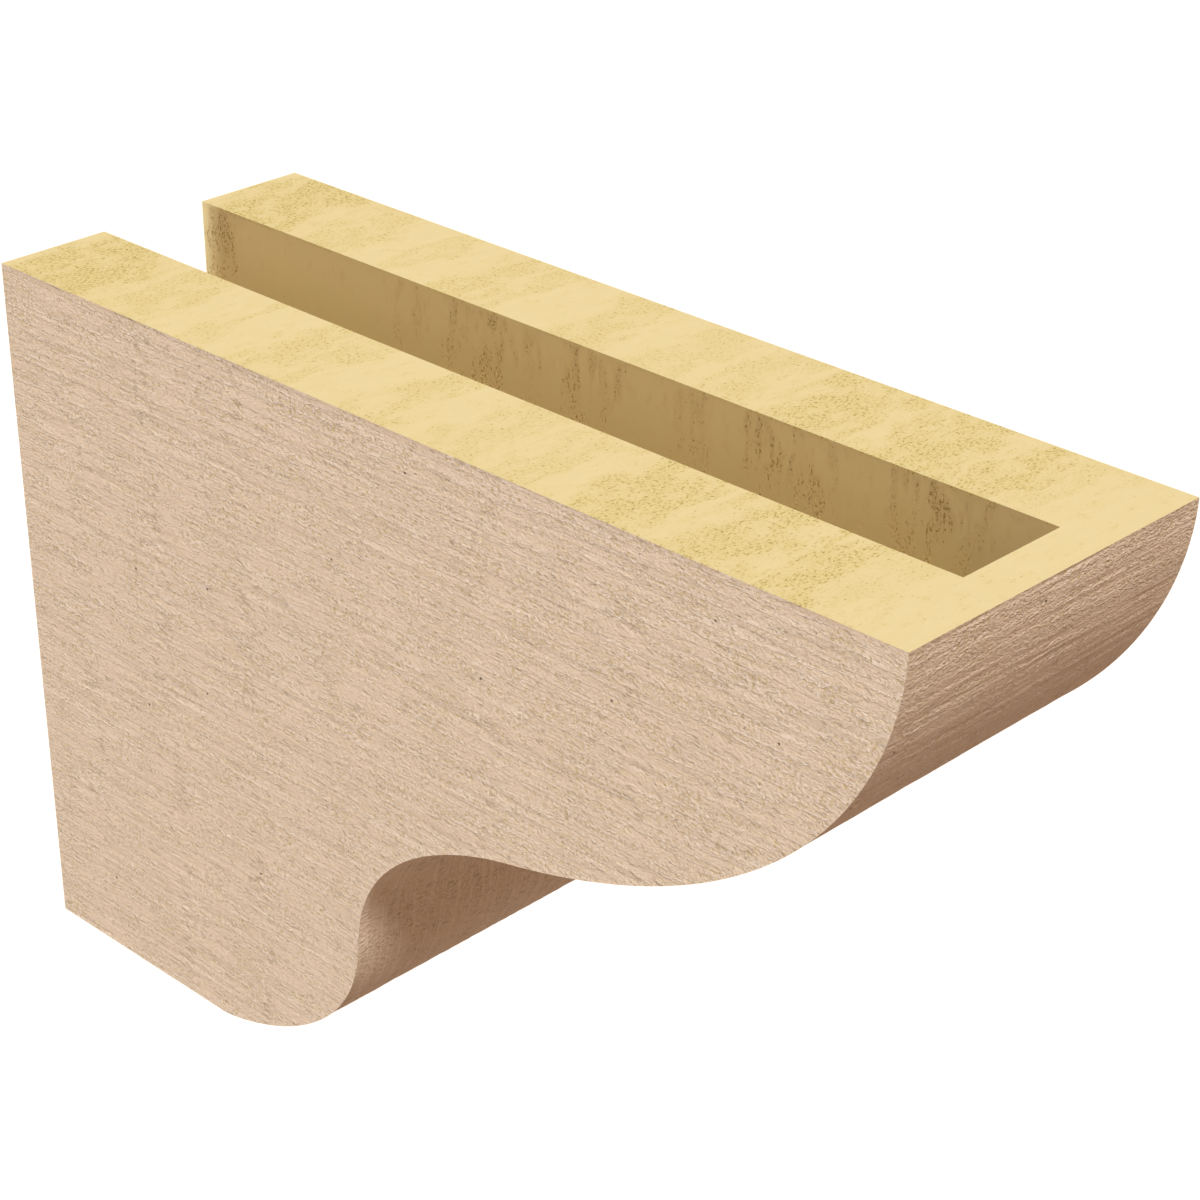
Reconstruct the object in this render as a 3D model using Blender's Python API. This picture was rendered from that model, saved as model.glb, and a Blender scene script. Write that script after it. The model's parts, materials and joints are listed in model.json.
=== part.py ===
"""A rough-sawn timber style corbel, moulded in one piece from rigid foam.

Its side is an ogee: a flat foot at the wall, a rounded toe, a hollow, and a long belly that rises
to the nose. A straight slot for a fixing block runs along the middle of the top. It is open at the
wall end and closed by a thin wall at the nose.

Everything is in metres. The origin is the middle of the wall face, -Y points out from the wall,
+Z is up and X runs across. The side is drawn in its own plane first, as distances out from the
wall and up from the foot.
"""

import math

import bmesh
import bpy
from mathutils import Vector

# Overall size
WIDTH = 0.1500
DEPTH = 0.4572
HEIGHT = 0.3012

# Slot in the top, open at the wall end
SLOT_WIDTH = 0.0500
SLOT_DEPTH = 0.0450
NOSE_WALL = 0.0191

# Side outline: its joints as (out, up), its slope there in degrees, and how far each curve is
# pulled along its end slopes
FOOT_END = (0.1101, 0.0)
TOE_TIP = (0.1986, 0.0752)
TOE_TIP_SLOPE = 87.0
HOLLOW_END = (0.2823, 0.14935)
HOLLOW_END_SLOPE = 12.24
NOSE_SLOPE = 90.0
TOE_PULLS = (0.0090, 0.0583)
HOLLOW_PULLS = (0.0525, 0.0195)
BELLY_PULLS = (0.1727, 0.0148)
STEPS_A_CURVE = 72

# Cutters run this far past the faces they open
OVERCUT = 0.010
WELD = 0.00001

PRIMED_TAN = (0.70, 0.53, 0.39, 1.0)
RAW_FOAM = (0.80, 0.64, 0.33, 1.0)


def clear_scene():
    for thing in list(bpy.data.objects):
        bpy.data.objects.remove(thing)


def new_collection(name):
    collection = bpy.data.collections.new(name)
    bpy.context.scene.collection.children.link(collection)
    return collection


def matte(name, color, roughness):
    material = bpy.data.materials.new(name)
    material.use_nodes = True
    shader = material.node_tree.nodes["Principled BSDF"]
    shader.inputs["Base Color"].default_value = color
    shader.inputs["Roughness"].default_value = roughness
    shader.inputs["Metallic"].default_value = 0.0
    return material


def pulled(point, slope, distance):
    """The curve handle that lies a distance along a slope from a point."""
    angle = math.radians(slope)
    return (point[0] + distance * math.cos(angle), point[1] + distance * math.sin(angle))


def side_knots():
    """The outline's joints, each with its two handles; None leaves that side a straight edge."""
    nose_top = (DEPTH, HEIGHT)
    return [
        ((0.0, 0.0), None, None),
        (FOOT_END, None, pulled(FOOT_END, 0.0, TOE_PULLS[0])),
        (
            TOE_TIP,
            pulled(TOE_TIP, TOE_TIP_SLOPE, -TOE_PULLS[1]),
            pulled(TOE_TIP, TOE_TIP_SLOPE, HOLLOW_PULLS[0]),
        ),
        (
            HOLLOW_END,
            pulled(HOLLOW_END, HOLLOW_END_SLOPE, -HOLLOW_PULLS[1]),
            pulled(HOLLOW_END, HOLLOW_END_SLOPE, BELLY_PULLS[0]),
        ),
        (nose_top, pulled(nose_top, NOSE_SLOPE, -BELLY_PULLS[1]), None),
        ((0.0, HEIGHT), None, None),
    ]


def side_curve():
    """The filled side outline, as thick as the corbel is wide and stood up on the wall face."""
    curve = bpy.data.curves.new("side_outline", "CURVE")
    curve.dimensions = "2D"
    curve.fill_mode = "BOTH"
    curve.resolution_u = STEPS_A_CURVE
    curve.extrude = WIDTH / 2
    knots = side_knots()
    spline = curve.splines.new("BEZIER")
    spline.bezier_points.add(len(knots) - 1)
    for knot, (place, before, after) in zip(spline.bezier_points, knots):
        knot.co = (*place, 0.0)
        knot.handle_left_type = "FREE" if before else "VECTOR"
        knot.handle_right_type = "FREE" if after else "VECTOR"
        knot.handle_left = (*(before or place), 0.0)
        knot.handle_right = (*(after or place), 0.0)
    spline.use_cyclic_u = True
    outline = bpy.data.objects.new("side_outline", curve)
    outline.location = (0.0, 0.0, -HEIGHT / 2)
    outline.rotation_euler = (math.radians(90), 0.0, math.radians(-90))
    return outline


def solid_from_curve(outline, name, collection):
    """A closed mesh object in the curve's place, which a Boolean can cut. The curve is removed."""
    bpy.context.scene.collection.objects.link(outline)
    graph = bpy.context.evaluated_depsgraph_get()
    graph.update()
    mesh = bpy.data.meshes.new_from_object(outline.evaluated_get(graph))
    mesh.name = name
    shell = bmesh.new()
    shell.from_mesh(mesh)
    bmesh.ops.remove_doubles(shell, verts=shell.verts, dist=WELD)
    bmesh.ops.recalc_face_normals(shell, faces=shell.faces)
    shell.to_mesh(mesh)
    shell.free()
    solid = bpy.data.objects.new(name, mesh)
    solid.matrix_world = outline.matrix_world.copy()
    collection.objects.link(solid)
    bpy.data.objects.remove(outline)
    return solid


def finish_faces(solid, primed, raw):
    """Primer covers the sides and the ogee; the sawn-off wall face and the top stay raw."""
    solid.data.materials.clear()
    solid.data.materials.append(primed)
    solid.data.materials.append(raw)
    turn = solid.matrix_world.to_3x3()
    for face in solid.data.polygons:
        facing = turn @ face.normal
        bare = facing.dot(Vector((0, 0, 1))) > 0.99 or facing.dot(Vector((0, 1, 0))) > 0.99
        face.material_index = 1 if bare else 0
        face.use_smooth = False


def slot_cutter(raw, collection):
    """The block of air above the slot's floor, past the top and past the wall face."""
    length = DEPTH - NOSE_WALL + OVERCUT
    height = SLOT_DEPTH + OVERCUT
    bpy.ops.mesh.primitive_cube_add(size=1.0)
    cutter = bpy.context.active_object
    cutter.name = "slot_cutter"
    cutter.data.transform(cutter.matrix_world)
    for corner in cutter.data.vertices:
        corner.co = (corner.co.x * SLOT_WIDTH, corner.co.y * length, corner.co.z * height)
    cutter.location = (0.0, OVERCUT - length / 2, HEIGHT / 2 - SLOT_DEPTH + height / 2)
    cutter.data.materials.append(raw)
    cutter.hide_render = True
    cutter.display_type = "WIRE"
    for holder in list(cutter.users_collection):
        holder.objects.unlink(cutter)
    collection.objects.link(cutter)
    return cutter


def cut(solid, cutter):
    boolean = solid.modifiers.new("slot", "BOOLEAN")
    boolean.operation = "DIFFERENCE"
    boolean.solver = "EXACT"
    boolean.material_mode = "TRANSFER"
    boolean.object = cutter


def build():
    clear_scene()
    parts = new_collection("rough_sawn_corbel")
    cutters = new_collection("cutters")
    primed = matte("primed_tan", PRIMED_TAN, 0.85)
    raw = matte("raw_foam", RAW_FOAM, 0.95)
    corbel = solid_from_curve(side_curve(), "corbel", parts)
    finish_faces(corbel, primed, raw)
    cut(corbel, slot_cutter(raw, cutters))


build()
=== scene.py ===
"""The looks of a rough-sawn timber style corbel, moulded in rigid foam and primed tan."""

import json
import math
from bisect import bisect_left

import bmesh
import bpy
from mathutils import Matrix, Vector, noise
from mathutils.kdtree import KDTree


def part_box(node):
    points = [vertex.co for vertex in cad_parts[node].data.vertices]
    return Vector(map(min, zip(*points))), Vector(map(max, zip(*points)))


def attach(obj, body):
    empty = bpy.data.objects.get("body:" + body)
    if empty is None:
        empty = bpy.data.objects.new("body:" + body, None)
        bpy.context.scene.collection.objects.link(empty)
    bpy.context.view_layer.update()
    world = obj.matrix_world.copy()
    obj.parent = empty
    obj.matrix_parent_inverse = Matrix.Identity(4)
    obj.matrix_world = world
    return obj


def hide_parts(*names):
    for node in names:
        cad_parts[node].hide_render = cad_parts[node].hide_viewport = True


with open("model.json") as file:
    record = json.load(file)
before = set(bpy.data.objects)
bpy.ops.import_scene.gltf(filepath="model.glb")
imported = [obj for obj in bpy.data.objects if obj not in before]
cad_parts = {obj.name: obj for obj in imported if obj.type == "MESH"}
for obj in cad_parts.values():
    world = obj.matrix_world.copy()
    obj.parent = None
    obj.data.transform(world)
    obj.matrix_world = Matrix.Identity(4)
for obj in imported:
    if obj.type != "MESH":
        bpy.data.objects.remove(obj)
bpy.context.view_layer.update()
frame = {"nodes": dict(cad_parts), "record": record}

MM = 0.001
NODE = "corbel"
MOUNTS = {mount["name"]: Vector(mount["pos_m"]) for mount in frame["record"]["mounts"]}

# The block's own faces, read from the frame
LOW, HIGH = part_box(NODE)
CHEEK = MOUNTS["slot_cheek_right"].x

# The mesh's rows, close together across the saw lines and wide apart along them
SAW_ROW = 0.88 * MM
SAW_STEP = 9.0 * MM
TORN_STEP = 1.6 * MM
OGEE_ROW = 1.2 * MM
OGEE_STEP = 5.0 * MM
HOLLOW_ROW = 4.0 * MM
HOLLOW_STEP = 2.2 * MM
FOAM_ROW = 2.5 * MM
FOAM_STEP = 4.0 * MM
SNAP = 0.002 * MM
SAME = 0.02 * MM
STEEP = 0.75

# A face this square to an axis is a flat one, and faces within so many degrees are one face
SQUARE = 0.999
ONE_FACE = 0.2

# Sawn relief, cut into the solid's faces
RIDGE_PITCH = 3.3 * MM
RIDGE_DEPTH = 0.36 * MM
TEAR_DEPTH = 0.45 * MM
FUZZ_DEPTH = 0.20 * MM
SWAY_DEPTH = 0.06 * MM
PORE_DEPTH = 0.18 * MM
DRAG_DEPTH = 0.06 * MM
BEND_REACH = 1.2 * MM
ARRIS_FADE = 1.6 * MM
CHIP_SLANT = 0.2

# How firm the ridges are: on the sides, on the ogee, and what the nose adds by its rise above the
# middle of the block
SIDE_FIRMNESS = 0.75
OGEE_FIRMNESS = 0.55
NOSE_FIRMNESS = 0.75
NOSE_RISE = 90 * MM

# The relief's grains: length along the marks, length across them, seed
OGEE_TEARS = (40 * MM, 9 * MM, 30.0)
BENDS = (60 * MM, 30 * MM, 3.0)
WORN_PATCHES = (30 * MM, 14 * MM, 6.0)
SPLINTERS = (4.5 * MM, 1.9 * MM, 8.0)
SMALL_SPLINTERS = (2.2 * MM, 1.6 * MM, 4.0)
FUZZ = (3.6 * MM, 1.8 * MM, 14.0)
SWAYS = (70 * MM, 35 * MM, 12.0)
BROKEN_CELLS = (6.0 * MM, 4.0 * MM, 22.0)
BLADE_DRAG = (80 * MM, 14 * MM, 25.0)

# The ridges: length, rows to a pitch, jump at each chatter mark, seed
RIDGES = (50 * MM, 1.1, 1.3, 1.0)
FINE_RIDGES = (16 * MM, 2.2, 0.9, 2.0)

# Noise that each chatter mark or band of cells has to itself: length along it, jump from one to
# the next, seed
LONG_DRIFT = (34 * MM, 90, 5.0)
SHORT_DRIFT = (8 * MM, 70, 9.0)
BITE = (17 * MM, 50, 7.0)
BAND_SWAY = (30 * MM, 60, 2.0)

# Where each relief begins and where it is whole, on its own noise
OGEE_TORN = (0.0, 0.5)
GROOVED = (-0.35, 0.35)
WORN = (-0.40, 0.30)
CHIPPED = (0.42, 0.85)
BITTEN = (-0.45, 0.35)
BROKEN = (0.1, 0.7)
BAND_EDGE = (0.6, 1.2)

# Shares in which the reliefs mix
RIDGE_SHARE = 0.8
FINE_RIDGE_SHARE = 0.4
SMALL_SPLINTER_SHARE = 0.3
TORN_SPLINTERS = 0.55
LEFT_BY_WEAR = 0.2
LEFT_UNTORN = 0.35

# On the ogee the marks run across the nose, and turn to follow the outline inside this distance
TURN_FROM = 350 * MM
TURN_TO = 300 * MM

# Chatter marks, where the saw paused: distance from the wall and how hard each one bit
CHATTER = [
    (36 * MM, 0.75),
    (87 * MM, 1.00),
    (141 * MM, 1.00),
    (209 * MM, 0.55),
    (273 * MM, 0.90),
    (343 * MM, 1.00),
    (388 * MM, 0.65),
]
CHATTER_HALF = 5.5 * MM
CHATTER_DRIFT = 3.5 * MM
BAND_DRIFT = 6 * MM

# Bands of open cells across the raw top: distance from the wall, half width and how open
OPEN_CELLS = [
    (28 * MM, 32 * MM, 0.88),
    (72 * MM, 18 * MM, 0.50),
    (112 * MM, 8 * MM, 0.40),
    (148 * MM, 14 * MM, 0.52),
    (168 * MM, 9 * MM, 0.45),
    (213 * MM, 16 * MM, 0.50),
    (254 * MM, 18 * MM, 0.40),
    (286 * MM, 16 * MM, 0.45),
    (326 * MM, 25 * MM, 0.75),
    (370 * MM, 23 * MM, 0.75),
    (402 * MM, 13 * MM, 0.80),
    (422 * MM, 12 * MM, 0.35),
]

# The same down the slot's cheeks
SLOT_CELLS = [
    (10 * MM, 16 * MM, 1.00),
    (128 * MM, 9 * MM, 0.50),
    (152 * MM, 9 * MM, 0.70),
    (172 * MM, 14 * MM, 1.00),
    (195 * MM, 7 * MM, 0.50),
    (216 * MM, 9 * MM, 0.80),
    (233 * MM, 9 * MM, 0.60),
    (276 * MM, 11 * MM, 0.50),
    (311 * MM, 10 * MM, 0.85),
    (329 * MM, 8 * MM, 0.80),
    (347 * MM, 6 * MM, 0.45),
    (374 * MM, 8 * MM, 0.60),
    (388 * MM, 9 * MM, 1.00),
    (405 * MM, 8 * MM, 0.50),
]

# Each surface's place on the grain map, clear of the others
PAIR_APART = 1.0
OGEE_PLACE = 4.0
TOP_PLACE = 7.0
CHEEK_PLACE = 10.0
WALL_PLACE = 13.0
SLOT_PLACE = 16.0

# Grains of the finishes: length along the marks, length across them, detail, roughness, seed and,
# where it has one, slant
SEED_STEP = (0.37, 0.23)
CHATTER_WANDER = (1.0, 26 * MM, 3.0, 0.6, 3.0)
CHATTER_PATCHES = (40 * MM, 15 * MM, 2.0, 0.5, 17.0)
ROUGH_PATCHES = (24 * MM, 9 * MM, 3.0, 0.6, 6.0)
DASHES = (2.6 * MM, 1.25 * MM, 2.0, 0.75, 2.0, 0.12)
CRUMB = (1.4 * MM, 1.1 * MM, 1.0, 0.8, 4.0)
LEVEL_LINES = (60 * MM, 2.1 * MM, 1.0, 0.5, 1.0)
UPRIGHT_LINES = (2.1 * MM, 60 * MM, 1.0, 0.5, 1.5)
PITS = (6.0 * MM, 1.6 * MM, 1.0, 0.6, 5.0, CHIP_SLANT)
BAND_WANDER = (26 * MM, 11 * MM, 2.0, 0.55, 3.0)
CELL_PATCHES = (16 * MM, 9 * MM, 4.0, 0.7, 11.0)
SLOT_STRIPES = (16 * MM, 4 * MM, 3.0, 0.65, 18.0)
STRAY_CELLS = (9 * MM, 6 * MM, 3.0, 0.6, 19.0)
CELLS = (1.6 * MM, 1.0 * MM, 2.0, 0.75, 12.0)
SKIN = (16 * MM, 3.5 * MM, 2.0, 0.5, 13.0)

# Pinholes in the primer: how far apart, radius, seed; and the share of the radius that is dark
# with painted shade
PINHOLES = (75 * MM, 0.62 * MM, 21.0)
HOLE_CORE = 0.4

# Where each mark begins and is whole on its own noise and, where it isn't 0 to 1, what it gives
CHATTER_SWING = (0.25, 0.75, -7 * MM, 7 * MM)
CHATTER_PATCHY = (0.36, 0.60, 0.1, 1.0)
ROUGH = (0.38, 0.60)
LINED = (0.52, 0.60)
PITTED = (0.725, 0.750)
BAND_SWING = (0.2, 0.8, -8 * MM, 8 * MM)
PATCHY = (0.36, 0.56, 0.30, 1.0)
STRIPED = (0.40, 0.58, 0.25, 1.0)
STRAY = (0.55, 0.72, 0.0, 0.28)
PORED = (0.72, 0.82)
SKINNED = (0.3, 0.7)

# The noise at which a mark's edge lies, and how far from it the edge still shows: painted
# highlights on the lips of the lines and chips, painted shade in the furrows beside the lines
LINE_LIP_HIGHLIGHT = (0.60, 0.035)
LINE_FURROW_SHADE = (0.52, 0.035)
PIT_LIP_HIGHLIGHT = (0.71, 0.025)

# The share of each band's half width over which it is whole
CHATTER_CORE = 0.0
TOP_CORE = 0.45
SLOT_CORE = 0.3

# Where the slot begins and is whole, behind the wall face and below the top; in it the foam's
# colours are darker copies, painted shade. And where the painted shade down its cheeks begins and
# ends to deepen
BEHIND_WALL = (HIGH.y - 0.30 * MM, HIGH.y - 0.60 * MM)
BELOW_TOP = (HIGH.z, HIGH.z - 2 * MM)
CHEEK_SHADE_DEPTHS = (HIGH.z - 2 * MM, HIGH.z - 42 * MM)

# How much the fibres break up the primer's lines, and the tears and open cells add marks
RAGGEDNESS = 0.25
TORN_PITS = 0.15
OPEN_PORES = 0.16

# Bumps in millimetres; a pair is for calm and rough primer, for side and ogee, or for top and slot
FIBRE_BUMP = (1.2, 1.5)
LINE_BUMP = (0.30, 0.14)
PIT_BUMP = -0.90
HOLE_BUMP = -0.60
SKIN_BUMP = 0.06
PORE_BUMP = -0.10
CRACKLE_BUMP = (-0.4, -0.2)

# How strongly each mark colours the finish, with the same pairs; a line highlight's is for nose and
# hollow. These paint light and shade into the colour: painted highlight and shade on the fibres,
# painted highlight along the lines and on the lips, painted shade in the furrows, chips, pinholes
# and open pores, and painted shade and highlight on the foam's crackle
FIBRE_SHADING = (1.3, 4.2)
LINE_HIGHLIGHT_TINT = (0.06, 0.45)
LIP_HIGHLIGHT_TINT = (0.50, 0.15)
FURROW_SHADE = 0.25
PIT_SHADE = 0.40
HOLE_SHADE = 0.9
SPECK_SHADE_TINT = (6.0, 10.0)
SLOT_SPECK_LOSS = 0.40
SPECK_HIGHLIGHT_TINT = -5.0
PORE_SHADE = 0.45

# Colours of the primer: its own tan, then painted highlights and painted shade for its relief
PRIMER = (0.771, 0.615, 0.460)
PRIMER_HIGHLIGHT = (0.90, 0.775, 0.66)
PRIMER_SHADE = (0.54, 0.39, 0.16)
PRIMER_LINE_HIGHLIGHT = (0.88, 0.72, 0.56)
PRIMER_LIP_HIGHLIGHT = (0.93, 0.81, 0.69)
PRIMER_PIT_SHADE = (0.44, 0.31, 0.15)
PRIMER_HOLE_SHADE = (0.10, 0.06, 0.035)

# Colours of the raw foam, on the top and in the slot. The slot's lower, torn and speck colours are
# darker copies, painted shade; the speck colours are painted shade and painted highlight of the
# crackle, and the pore colour is painted shade in the open pores
FOAM_DULL = (0.794, 0.684, 0.372)
FOAM_BRIGHT = (0.802, 0.692, 0.386)
FOAM_TORN = (0.738, 0.620, 0.280)
FOAM_SPECK_SHADE = (0.625, 0.505, 0.160)
FOAM_SPECK_HIGHLIGHT = (0.810, 0.695, 0.350)
FOAM_PORE_SHADE = (0.38, 0.27, 0.07)
SLOT_UPPER = (0.81, 0.688, 0.375)
SLOT_LOWER_SHADED = (0.620, 0.508, 0.268)
SLOT_TORN_SHADED = (0.68, 0.535, 0.275)
SLOT_SPECK_SHADE = (0.42, 0.30, 0.130)
SLOT_SPECK_HIGHLIGHT = (0.78, 0.640, 0.350)

# Roughness and specular level of each finish
PRIMER_SHEEN = (0.90, 0.15)
FOAM_SHEEN = (0.95, 0.1)
FLOOR_SHEEN = (0.9, 0.0)

# A Mix node's sockets for colours
COLOUR_BELOW, COLOUR_ABOVE, COLOUR_MIXED = 6, 7, 2

# The pale floor, far enough down to take no shadow
FLOOR_SIZE = 30.0
FLOOR_DROP = 1.5
FLOOR_COLOUR = (0.92, 0.92, 0.92, 1.0)
FLOOR_GLOW = 0.2

# Lights: where each comes from, strength, colour, and spread in degrees
LIGHTS = {
    "left_softbox": ((-1.0, 0.10, -0.13), 1.50, (0.905, 1.0, 1.075), 14),
    "top_softbox": ((-0.23, -0.57, 1.0), 2.70, (0.96, 1.0, 1.0), 18),
    "back_softbox": ((0.8, 0.9, -0.2), 1.0, (0.98, 0.98, 1.0), 40),
}
STUDIO_GLOW = (0.390, 0.269, 0.202, 1.0)
WHITE = (1.0, 1.0, 1.0, 1.0)

# The photograph's camera; the lens and the sensor are in millimetres
LENS = 88.536
SENSOR = 36.0
AZIMUTH, ELEVATION = -45.475, 27.416
EYE = (-0.68589, -0.93002, 0.56605)
FAR_CLIP = 100.0


def smooth_step(value, low, high):
    share = min(1.0, max(0.0, (value - low) / (high - low)))
    return share * share * (3 - 2 * share)


def wave(first, second, seed):
    """Smooth noise from -1 to 1."""
    return noise.noise(Vector((first, second, seed)))


def grained(along, across, grain):
    """Smooth noise in the grain's own lengths."""
    length, height, seed = grain
    return wave(along / length, across / height, seed)


def ridged(along, across, passed, ridges):
    """Smooth noise in rows along the marks, which start afresh past each chatter mark."""
    length, crowding, jump, seed = ridges
    return wave(along / length + jump * passed, across / RIDGE_PITCH * crowding, seed)


def own_noise(distance, place, kind):
    """Smooth noise along a chatter mark or a band of cells, different for each place."""
    length, jump, seed = kind
    return wave(distance / length, place * jump, seed)


def region_of(face):
    """Which of the block's surfaces a face lies in. It holds while the faces are still flat."""
    facing, middle = face.normal, face.calc_center_median()
    if facing.z > SQUARE:
        return "top" if middle.z > HIGH.z - SAME else "slot_floor"
    if abs(facing.x) > SQUARE:
        return "cheek" if abs(middle.x) < CHEEK + SAME else "side"
    if facing.y > SQUARE:
        return "wall" if middle.y > HIGH.y - SAME else "slot_end"
    return "ogee"


def faces_in(shape, *names):
    return [face for face in shape.faces if region_of(face) in names]


def in_nose(face):
    return face.calc_center_median().y < -TURN_TO


def rows(low, high, pitch):
    """Evenly spaced places between two ends, about a pitch apart."""
    count = max(1, round((high - low) / pitch))
    return [low + (high - low) * step / count for step in range(1, count)]


def torn_rows():
    """Places along the side: wide apart, and close together at each chatter mark."""
    reach = CHATTER_HALF + CHATTER_DRIFT
    ends = [LOW.y]
    for distance, _ in sorted(CHATTER, reverse=True):
        ends += [-distance - reach, -distance + reach]
    ends.append(HIGH.y)
    places = []
    for index, (low, high) in enumerate(zip(ends, ends[1:])):
        places += rows(low, high, TORN_STEP if index % 2 else SAW_STEP)
    return sorted(places + ends[1:-1])


def slice_up(shape, faces, axis, places):
    """Cuts the faces by planes square to an axis. The places rise along it."""
    square = Vector([1.0 if index == axis else 0.0 for index in range(3)])
    waiting = set(faces)
    for place in places:
        parts = set(waiting)
        for face in waiting:
            parts.update(face.edges)
            parts.update(face.verts)
        cut = bmesh.ops.bisect_plane(
            shape, geom=list(parts), dist=SNAP, plane_co=square * place, plane_no=square
        )
        found = [part for part in cut["geom"] if isinstance(part, bmesh.types.BMFace)]
        waiting = {face for face in found if face.calc_center_median()[axis] > place}


def sawn_block():
    """The solid's own shape with its flat faces whole again, then cut into fine rows."""
    shape = bmesh.new()
    shape.from_mesh(frame["nodes"][NODE].data)
    bmesh.ops.remove_doubles(shape, verts=shape.verts, dist=SAME)
    bmesh.ops.dissolve_limit(
        shape, angle_limit=math.radians(ONE_FACE), verts=shape.verts, edges=shape.edges
    )
    nose = [face for face in faces_in(shape, "ogee") if in_nose(face)]
    hollow = [face for face in faces_in(shape, "ogee") if not in_nose(face)]
    gentle = [face for face in nose if face.normal.z < -STEEP]
    slice_up(shape, gentle, 1, rows(LOW.y, HIGH.y, OGEE_ROW))
    slice_up(shape, hollow, 1, rows(LOW.y, HIGH.y, HOLLOW_ROW))
    slice_up(shape, faces_in(shape, "top", "cheek", "slot_floor"), 1, rows(LOW.y, HIGH.y, FOAM_ROW))
    slice_up(shape, faces_in(shape, "cheek", "slot_end", "wall"), 2, rows(LOW.z, HIGH.z, FOAM_STEP))
    slice_up(shape, faces_in(shape, "top", "wall", "slot_floor", "slot_end"), 0,
             rows(LOW.x, HIGH.x, FOAM_STEP))
    nose = [face for face in faces_in(shape, "ogee") if in_nose(face)]
    hollow = [face for face in faces_in(shape, "ogee") if not in_nose(face)]
    slice_up(shape, hollow, 2, rows(LOW.z, HIGH.z, HOLLOW_ROW))
    slice_up(shape, faces_in(shape, "side") + nose, 2, rows(LOW.z, HIGH.z, SAW_ROW))
    nose = [face for face in faces_in(shape, "ogee") if in_nose(face)]
    hollow = [face for face in faces_in(shape, "ogee") if not in_nose(face)]
    slice_up(shape, nose, 0, rows(LOW.x, HIGH.x, OGEE_STEP))
    slice_up(shape, hollow, 0, rows(LOW.x, HIGH.x, HOLLOW_STEP))
    slice_up(shape, faces_in(shape, "side"), 1, torn_rows())
    return shape


def along_ogee(shape):
    """How far round the ogee a point lies, from its distance out plus its height."""
    rim = {
        (-corner.co.y + corner.co.z, -corner.co.y, corner.co.z)
        for face in faces_in(shape, "ogee")
        for corner in face.verts
    }
    marks, lengths, last, total = [], [], None, 0.0
    for mark, out, up in sorted(rim):
        if last:
            total += math.hypot(out - last[0], up - last[1])
        marks.append(mark)
        lengths.append(total)
        last = (out, up)
    return marks, lengths


def grain_place(name, place, ogee):
    """Where a point lies in the grain: (along the marks, across them), in metres."""
    x, y, z = place
    if name == "side":
        return (y + math.copysign(PAIR_APART, x), z)
    if name == "ogee":
        marks, lengths = ogee
        index = min(bisect_left(marks, z - y), len(lengths) - 1)
        return (x + OGEE_PLACE, lengths[index])
    if name == "top":
        return (x + TOP_PLACE, y)
    if name == "cheek":
        return (z + CHEEK_PLACE, y + math.copysign(PAIR_APART, x))
    if name == "wall":
        return (x + WALL_PLACE, z)
    return (x + SLOT_PLACE, y + z)


def chatter(out, up):
    """How torn the side is here, from 0 to 1, and how many of the marks lie nearer the wall."""
    torn, passed = 0.0, 0.0
    for place, force in CHATTER:
        drift = own_noise(up, place, LONG_DRIFT) + 0.5 * own_noise(up, place, SHORT_DRIFT)
        off = (out - place + CHATTER_DRIFT * drift) / CHATTER_HALF
        bite = force * smooth_step(own_noise(up, place, BITE), *BITTEN)
        torn = max(torn, bite * math.exp(-off * off))
        passed += smooth_step(off, -1.0, 1.0)
    return torn, passed


def saw_relief(name, along, across, place):
    """Depth of the saw's marks below the flat face."""
    if name == "side":
        torn, passed = chatter(-place.y, place.z)
        firm = SIDE_FIRMNESS
    else:
        torn = 0.5 * smooth_step(grained(along, across, OGEE_TEARS), *OGEE_TORN)
        passed = 0.0
        firm = OGEE_FIRMNESS + NOSE_FIRMNESS * smooth_step(place.z, 0.0, NOSE_RISE)
        turn = smooth_step(place.y, -TURN_FROM, -TURN_TO)
        along, across = along + (across - along) * turn, across + (along - across) * turn
    bent = across + BEND_REACH * grained(along, across, BENDS)
    line = RIDGE_SHARE * ridged(along, bent, passed, RIDGES)
    fine = FINE_RIDGE_SHARE * ridged(along, bent, passed, FINE_RIDGES)
    groove = smooth_step(line + fine, *GROOVED)
    worn = smooth_step(grained(along, across, WORN_PATCHES), *WORN)
    ragged = grained(along, across - CHIP_SLANT * along, SPLINTERS)
    ragged += SMALL_SPLINTER_SHARE * grained(along, across, SMALL_SPLINTERS)
    chip = smooth_step(ragged + TORN_SPLINTERS * torn, *CHIPPED)
    fuzz = 0.5 + 0.5 * grained(along, across, FUZZ)
    sway = 0.5 + 0.5 * grained(along, across, SWAYS)
    return (
        RIDGE_DEPTH * firm * groove * (LEFT_BY_WEAR + (1 - LEFT_BY_WEAR) * worn)
        + TEAR_DEPTH * chip * (LEFT_UNTORN + (1 - LEFT_UNTORN) * torn)
        + FUZZ_DEPTH * fuzz
        + SWAY_DEPTH * sway
    )


def open_cells(out, side):
    """How open the foam's cells are at this distance from the wall, from 0 to 1."""
    share = 0.0
    for place, half, force in OPEN_CELLS:
        off = (out - place + BAND_DRIFT * own_noise(side, place, BAND_SWAY)) / half
        share = max(share, force * (1.0 - smooth_step(abs(off), *BAND_EDGE)))
    return share


def foam_relief(along, across, place):
    """Depth of the broken cells and the blade's drag in the raw foam."""
    cells = smooth_step(grained(along, across, BROKEN_CELLS), *BROKEN)
    drag = 0.5 + 0.5 * grained(along, across, BLADE_DRAG)
    return PORE_DEPTH * cells * open_cells(-place.y, place.x + place.z) + DRAG_DEPTH * drag


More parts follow.
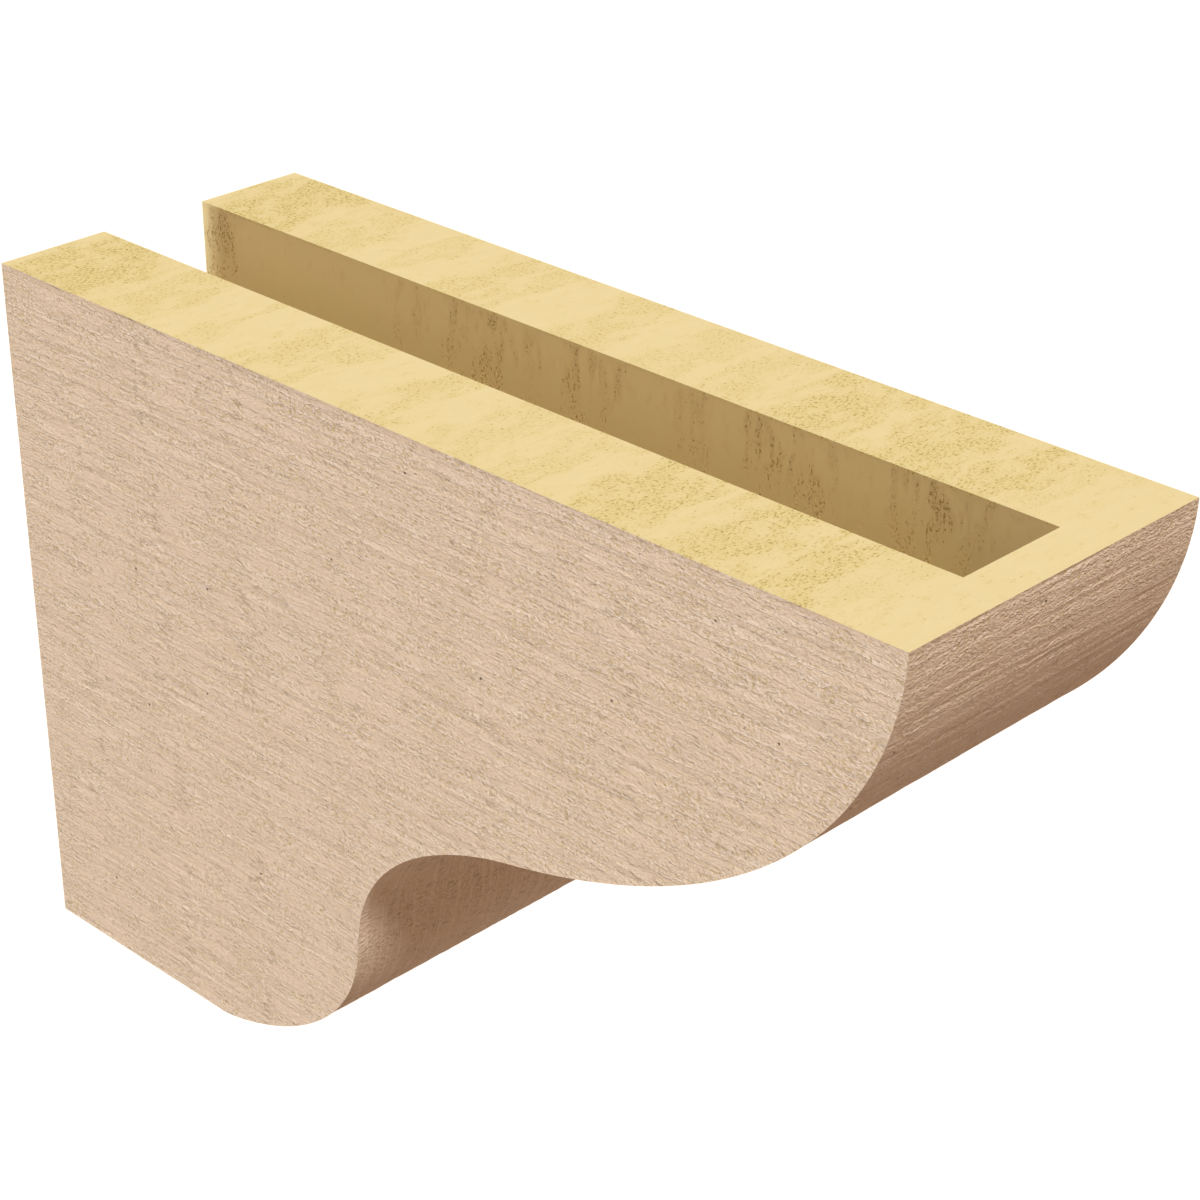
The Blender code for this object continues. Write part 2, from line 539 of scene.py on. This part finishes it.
def lay_grain(shape):
    """Marks each face's finish and lays the grain map over the flat block."""
    ogee = along_ogee(shape)
    grain = shape.loops.layers.uv.new("grain")
    for face in shape.faces:
        name = region_of(face)
        face.material_index = 0 if name in ("side", "ogee") else 1
        face.smooth = True
        for loop in face.loops:
            loop[grain].uv = grain_place(name, loop.vert.co, ogee)


def cut_relief(shape):
    """Sinks every point inside a surface by its relief, and keeps the arrises where they are."""
    names = {face: region_of(face) for face in shape.faces}
    ogee = along_ogee(shape)
    rim = []
    for corner in shape.verts:
        if len({names[face] for face in corner.link_faces}) > 1:
            rim.append(corner.co.copy())
    nearest = KDTree(len(rim))
    for index, place in enumerate(rim):
        nearest.insert(place, index)
    nearest.balance()
    for edge in shape.edges:
        if len({names[face] for face in edge.link_faces}) > 1:
            edge.smooth = False
    moves = []
    for corner in shape.verts:
        found = {names[face] for face in corner.link_faces}
        if len(found) > 1:
            continue
        name = found.pop()
        along, across = grain_place(name, corner.co, ogee)
        if name in ("side", "ogee"):
            depth = saw_relief(name, along, across, corner.co)
        else:
            depth = foam_relief(along, across, corner.co)
        fade = smooth_step(nearest.find(corner.co)[2], 0.0, ARRIS_FADE)
        moves.append((corner, corner.normal * (-depth * fade)))
    for corner, move in moves:
        corner.co += move


def corbel_body():
    shape = sawn_block()
    shape.normal_update()
    lay_grain(shape)
    cut_relief(shape)
    many_sided = [face for face in shape.faces if len(face.verts) > 4]
    bmesh.ops.triangulate(shape, faces=many_sided, ngon_method="BEAUTY")
    bmesh.ops.dissolve_degenerate(shape, dist=SNAP, edges=shape.edges)
    mesh = bpy.data.meshes.new("corbel_body")
    shape.to_mesh(mesh)
    shape.free()
    body = bpy.data.objects.new("corbel_body", mesh)
    bpy.context.scene.collection.objects.link(body)
    mesh.materials.append(primed_tan())
    mesh.materials.append(raw_foam())
    return body


# Materials

def put(tree, kind, **settings):
    node = tree.nodes.new(kind)
    for name, value in settings.items():
        setattr(node, name, value)
    return node


def reckon(tree, operation, *terms):
    """A Math node; its terms are numbers or sockets."""
    node = put(tree, "ShaderNodeMath", operation=operation)
    for socket, term in zip(node.inputs, terms):
        if isinstance(term, (int, float)):
            socket.default_value = term
        else:
            tree.links.new(term, socket)
    return node.outputs[0]


def times(tree, first, second):
    return reckon(tree, "MULTIPLY", first, second)


def add_up(tree, *terms):
    total = terms[0]
    for term in terms[1:]:
        total = reckon(tree, "ADD", total, term)
    return total


def remap(tree, value, low, high, to_low=0.0, to_high=1.0):
    """Eases from one value to another between a low and a high, which may be the other way round."""
    node = put(tree, "ShaderNodeMapRange", interpolation_type="SMOOTHSTEP")
    node.inputs["From Min"].default_value = low
    node.inputs["From Max"].default_value = high
    node.inputs["To Min"].default_value = to_low
    node.inputs["To Max"].default_value = to_high
    tree.links.new(value, node.inputs["Value"])
    return node.outputs["Result"]


def between(tree, share, pair):
    """Eases from the pair's first value to its second as the share rises from 0 to 1."""
    return remap(tree, share, 0.0, 1.0, *pair)


def near(tree, value, goal, reach):
    """1 where a value meets its goal, falling to 0 at the reach on both sides."""
    return remap(tree, reckon(tree, "ABSOLUTE", reckon(tree, "SUBTRACT", value, goal)), reach, 0.0)


def grain_map(tree, along, across, seed, slant=0.0):
    """The grain map in specks of this size, turned by the slant, from a place of the seed's own."""
    step_along, step_across = SEED_STEP
    place = put(tree, "ShaderNodeUVMap", uv_map="grain").outputs["UV"]
    stretch = put(tree, "ShaderNodeMapping", vector_type="TEXTURE")
    stretch.inputs["Location"].default_value = (step_along * seed, step_across * seed, 0.0)
    stretch.inputs["Rotation"].default_value = (0.0, 0.0, math.atan(slant))
    stretch.inputs["Scale"].default_value = (along, across, 1.0)
    tree.links.new(place, stretch.inputs["Vector"])
    return stretch.outputs["Vector"]


def grain_noise(tree, along, across, detail, roughness, seed, slant=0.0):
    """Noise on the grain map, whose specks are so long along the marks and so long across them."""
    texture = put(tree, "ShaderNodeTexNoise", noise_dimensions="2D")
    texture.inputs["Scale"].default_value = 1.0
    texture.inputs["Detail"].default_value = detail
    texture.inputs["Roughness"].default_value = roughness
    tree.links.new(grain_map(tree, along, across, seed, slant), texture.inputs["Vector"])
    return texture.outputs["Fac"]


def pinholes(tree, apart, radius, seed):
    """Bright on scattered round pinholes."""
    dots = put(tree, "ShaderNodeTexVoronoi", voronoi_dimensions="2D", feature="F1")
    dots.inputs["Scale"].default_value = 1.0
    tree.links.new(grain_map(tree, apart, apart, seed), dots.inputs["Vector"])
    return remap(tree, dots.outputs["Distance"], radius / apart, HOLE_CORE * radius / apart)


def tint(tree, share, below, above):
    """A colour that goes from one to the other as the share rises."""
    node = put(tree, "ShaderNodeMix", data_type="RGBA")
    tree.links.new(share, node.inputs["Factor"])
    for index, value in ((COLOUR_BELOW, below), (COLOUR_ABOVE, above)):
        if isinstance(value, tuple):
            node.inputs[index].default_value = (*value, 1.0)
        else:
            tree.links.new(value, node.inputs[index])
    return node.outputs[COLOUR_MIXED]


def new_finish(name, roughness, specular):
    material = bpy.data.materials.new(name)
    material.use_nodes = True
    shader = material.node_tree.nodes["Principled BSDF"]
    shader.inputs["Roughness"].default_value = roughness
    shader.inputs["Specular IOR Level"].default_value = specular
    return material, shader


def raise_bumps(tree, shader, height):
    """The height is in millimetres."""
    bump = put(tree, "ShaderNodeBump")
    bump.inputs["Strength"].default_value = 1.0
    bump.inputs["Distance"].default_value = MM
    tree.links.new(height, bump.inputs["Height"])
    tree.links.new(bump.outputs["Normal"], shader.inputs["Normal"])


def object_place(tree):
    place = put(tree, "ShaderNodeTexCoord")
    apart = put(tree, "ShaderNodeSeparateXYZ")
    tree.links.new(place.outputs["Object"], apart.inputs["Vector"])
    return apart


def banded(tree, out, bands, core):
    """Bright in each band: fully inside the core's share of its half width, not at all past it."""
    share = None
    for distance, half, force in bands:
        off = reckon(tree, "ABSOLUTE", reckon(tree, "SUBTRACT", out, distance))
        mark = remap(tree, off, half, core * half, 0.0, force)
        share = mark if share is None else reckon(tree, "MAXIMUM", share, mark)
    return share


def chatter_marks(tree):
    """How torn the side is, by distance from the wall, with a wander down the face."""
    wander = remap(tree, grain_noise(tree, *CHATTER_WANDER), *CHATTER_SWING)
    out = reckon(tree, "SUBTRACT", wander, object_place(tree).outputs["Y"])
    bands = [(place, CHATTER_HALF, force) for place, force in CHATTER]
    torn = banded(tree, out, bands, CHATTER_CORE)
    patchy = remap(tree, grain_noise(tree, *CHATTER_PATCHES), *CHATTER_PATCHY)
    return times(tree, torn, patchy)


def ogee_shares(tree):
    """1 on the ogee and 0 on the sides; and 1 in the hollow, where the marks follow the outline."""
    place = put(tree, "ShaderNodeUVMap", uv_map="grain")
    apart = put(tree, "ShaderNodeSeparateXYZ")
    tree.links.new(place.outputs["UV"], apart.inputs["Vector"])
    on_ogee = reckon(tree, "GREATER_THAN", apart.outputs["X"], OGEE_PLACE / 2)
    near_wall = remap(tree, object_place(tree).outputs["Y"], -TURN_FROM, -TURN_TO)
    return on_ogee, times(tree, on_ogee, near_wall)


def blend(tree, share, below, above):
    """A value that goes from one to the other as the share rises."""
    return add_up(tree, below, times(tree, share, reckon(tree, "SUBTRACT", above, below)))


def primed_tan():
    """Flat tan primer that follows every saw line and torn fibre under it, their light and shade
    painted in.
    """
    material, shader = new_finish("primed_tan", *PRIMER_SHEEN)
    tree = material.node_tree
    torn = chatter_marks(tree)
    on_ogee, hollow = ogee_shares(tree)
    rough = remap(tree, grain_noise(tree, *ROUGH_PATCHES), *ROUGH)
    dash = grain_noise(tree, *DASHES)
    crumb = grain_noise(tree, *CRUMB)
    fibres = reckon(tree, "SUBTRACT", blend(tree, 0.5, dash, crumb), 0.5)
    ragged = times(tree, fibres, RAGGEDNESS)
    level = grain_noise(tree, *LEVEL_LINES)
    upright = grain_noise(tree, *UPRIGHT_LINES)
    saw = add_up(tree, blend(tree, hollow, level, upright), ragged)
    line = remap(tree, saw, *LINED)
    pits = grain_noise(tree, *PITS)
    pits = add_up(tree, pits, ragged, times(tree, torn, TORN_PITS))
    pit = remap(tree, pits, *PITTED)
    hole = pinholes(tree, *PINHOLES)
    firm = times(tree, fibres, between(tree, rough, FIBRE_BUMP))
    height = add_up(
        tree,
        firm,
        times(tree, line, between(tree, on_ogee, LINE_BUMP)),
        times(tree, pit, PIT_BUMP),
        times(tree, hole, HOLE_BUMP),
    )
    raise_bumps(tree, shader, height)

    # Painted highlight on the raised fibres and painted shade in the sunk ones
    fibre_shading = times(tree, fibres, between(tree, rough, FIBRE_SHADING))
    base = tint(tree, fibre_shading, PRIMER, PRIMER_HIGHLIGHT)
    base = tint(tree, times(tree, fibre_shading, -1.0), base, PRIMER_SHADE)
    # Painted highlight along the saw lines' crests, strongest in the hollow
    line_highlight = between(tree, hollow, LINE_HIGHLIGHT_TINT)
    base = tint(tree, times(tree, line, line_highlight), base, PRIMER_LINE_HIGHLIGHT)
    # Painted highlight on the lower lips of the lines and chips
    lip_highlight = reckon(tree, "MAXIMUM", near(tree, saw, *LINE_LIP_HIGHLIGHT), near(tree, pits, *PIT_LIP_HIGHLIGHT))
    lip_highlight = times(tree, lip_highlight, between(tree, on_ogee, LIP_HIGHLIGHT_TINT))
    base = tint(tree, lip_highlight, base, PRIMER_LIP_HIGHLIGHT)
    # Painted shade in the furrow beside each line
    furrow_shade = times(tree, near(tree, saw, *LINE_FURROW_SHADE), FURROW_SHADE)
    base = tint(tree, furrow_shade, base, PRIMER_SHADE)
    # Painted shade in the chips
    base = tint(tree, times(tree, pit, PIT_SHADE), base, PRIMER_PIT_SHADE)
    # Painted shade in the pinholes
    base = tint(tree, times(tree, hole, HOLE_SHADE), base, PRIMER_HOLE_SHADE)
    tree.links.new(base, shader.inputs["Base Color"])
    return material


def raw_foam():
    """Sawn rigid foam: butter yellow, with bands of open cells across the cut; shade and highlight
    painted in.
    """
    material, shader = new_finish("raw_foam", *FOAM_SHEEN)
    tree = material.node_tree
    place = object_place(tree)
    in_slot = remap(tree, place.outputs["Y"], *BEHIND_WALL)
    inside = remap(tree, place.outputs["Z"], *BELOW_TOP)
    inside = times(tree, inside, in_slot)
    wander = remap(tree, grain_noise(tree, *BAND_WANDER), *BAND_SWING)
    out = reckon(tree, "SUBTRACT", wander, place.outputs["Y"])
    patch = remap(tree, grain_noise(tree, *CELL_PATCHES), *PATCHY)
    top_cells = times(tree, banded(tree, out, OPEN_CELLS, TOP_CORE), patch)
    stripe = remap(tree, grain_noise(tree, *SLOT_STRIPES), *STRIPED)
    slot_cells = times(tree, banded(tree, out, SLOT_CELLS, SLOT_CORE), stripe)
    stray = remap(tree, grain_noise(tree, *STRAY_CELLS), *STRAY)
    openness = reckon(tree, "MAXIMUM", blend(tree, inside, top_cells, slot_cells), stray)
    cells = grain_noise(tree, *CELLS)
    crackle = times(tree, reckon(tree, "SUBTRACT", cells, 0.5), openness)
    pores = remap(tree, add_up(tree, cells, times(tree, openness, OPEN_PORES)), *PORED)
    skin = grain_noise(tree, *SKIN)
    height = add_up(
        tree,
        times(tree, skin, SKIN_BUMP),
        times(tree, pores, PORE_BUMP),
        times(tree, crackle, between(tree, inside, CRACKLE_BUMP)),
    )
    raise_bumps(tree, shader, height)

    # Painted shade that deepens down the slot's cheeks
    depth = remap(tree, place.outputs["Z"], *CHEEK_SHADE_DEPTHS)
    bare = tint(tree, remap(tree, skin, *SKINNED), FOAM_DULL, FOAM_BRIGHT)
    # In the slot the bare foam takes darker colours: painted shade
    bare = tint(tree, inside, bare, tint(tree, depth, SLOT_UPPER, SLOT_LOWER_SHADED))
    # The torn foam is darker in the slot: painted shade
    torn = tint(tree, inside, FOAM_TORN, SLOT_TORN_SHADED)
    # Speck colours: painted shade for the crackle's sunk bits and painted highlight for its raised
    # bits, both darker in the slot with painted shade
    dark = tint(tree, inside, FOAM_SPECK_SHADE, SLOT_SPECK_SHADE)
    pale = tint(tree, inside, FOAM_SPECK_HIGHLIGHT, SLOT_SPECK_HIGHLIGHT)
    base = tint(tree, openness, bare, torn)
    # Painted shade on the sunk crackle, less of it in the slot
    specks = times(tree, crackle, between(tree, inside, SPECK_SHADE_TINT))
    specks = reckon(tree, "SUBTRACT", specks, times(tree, inside, SLOT_SPECK_LOSS))
    base = tint(tree, specks, base, dark)
    # Painted highlight on the raised crackle
    base = tint(tree, times(tree, crackle, SPECK_HIGHLIGHT_TINT), base, pale)
    # Painted shade in the open pores
    base = tint(tree, times(tree, pores, PORE_SHADE), base, FOAM_PORE_SHADE)
    tree.links.new(base, shader.inputs["Base Color"])
    return material


# Stage, light and camera

def pale_floor():
    material, shader = new_finish("pale_floor", *FLOOR_SHEEN)
    shader.inputs["Base Color"].default_value = FLOOR_COLOUR
    shader.inputs["Emission Color"].default_value = WHITE
    shader.inputs["Emission Strength"].default_value = FLOOR_GLOW
    shape = bmesh.new()
    bmesh.ops.create_grid(shape, x_segments=1, y_segments=1, size=FLOOR_SIZE)
    for corner in shape.verts:
        corner.co.z = LOW.z - FLOOR_DROP
    mesh = bpy.data.meshes.new("pale_floor")
    shape.to_mesh(mesh)
    shape.free()
    mesh.materials.append(material)
    floor = bpy.data.objects.new("pale_floor", mesh)
    bpy.context.scene.collection.objects.link(floor)
    floor.visible_diffuse = False
    floor.visible_shadow = False


def soft_light(name, towards, strength, color, spread):
    """A far, wide light that comes from a direction."""
    light = bpy.data.lights.new(name, "SUN")
    light.energy = strength
    light.color = color
    light.angle = math.radians(spread)
    lamp = bpy.data.objects.new(name, light)
    lamp.rotation_mode = "QUATERNION"
    lamp.rotation_quaternion = Vector(towards).to_track_quat("Z", "Y")
    bpy.context.scene.collection.objects.link(lamp)


def studio():
    for name, (towards, strength, color, spread) in LIGHTS.items():
        soft_light(name, towards, strength, color, spread)
    world = bpy.data.worlds.new("studio_air")
    world.use_nodes = True
    tree = world.node_tree
    glow = tree.nodes["Background"]
    glow.inputs["Color"].default_value = STUDIO_GLOW
    backdrop = put(tree, "ShaderNodeBackground")
    backdrop.inputs["Color"].default_value = WHITE
    either = put(tree, "ShaderNodeMixShader")
    tree.links.new(put(tree, "ShaderNodeLightPath").outputs["Is Camera Ray"], either.inputs[0])
    tree.links.new(glow.outputs["Background"], either.inputs[1])
    tree.links.new(backdrop.outputs["Background"], either.inputs[2])
    tree.links.new(either.outputs["Shader"], tree.nodes["World Output"].inputs["Surface"])
    bpy.context.scene.world = world


def photo_camera():
    data = bpy.data.cameras.new("photo_view")
    data.sensor_width = SENSOR
    data.lens = LENS
    data.clip_end = FAR_CLIP
    camera = bpy.data.objects.new("photo_view", data)
    camera.location = EYE
    camera.rotation_euler = (math.radians(90 - ELEVATION), 0.0, math.radians(AZIMUTH))
    bpy.context.scene.collection.objects.link(camera)
    bpy.context.scene.camera = camera


def main():
    photo_camera()
    studio()
    pale_floor()
    body = corbel_body()
    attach(body, "root")
    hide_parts(NODE)
    bpy.context.scene.view_settings.view_transform = "Standard"


main()
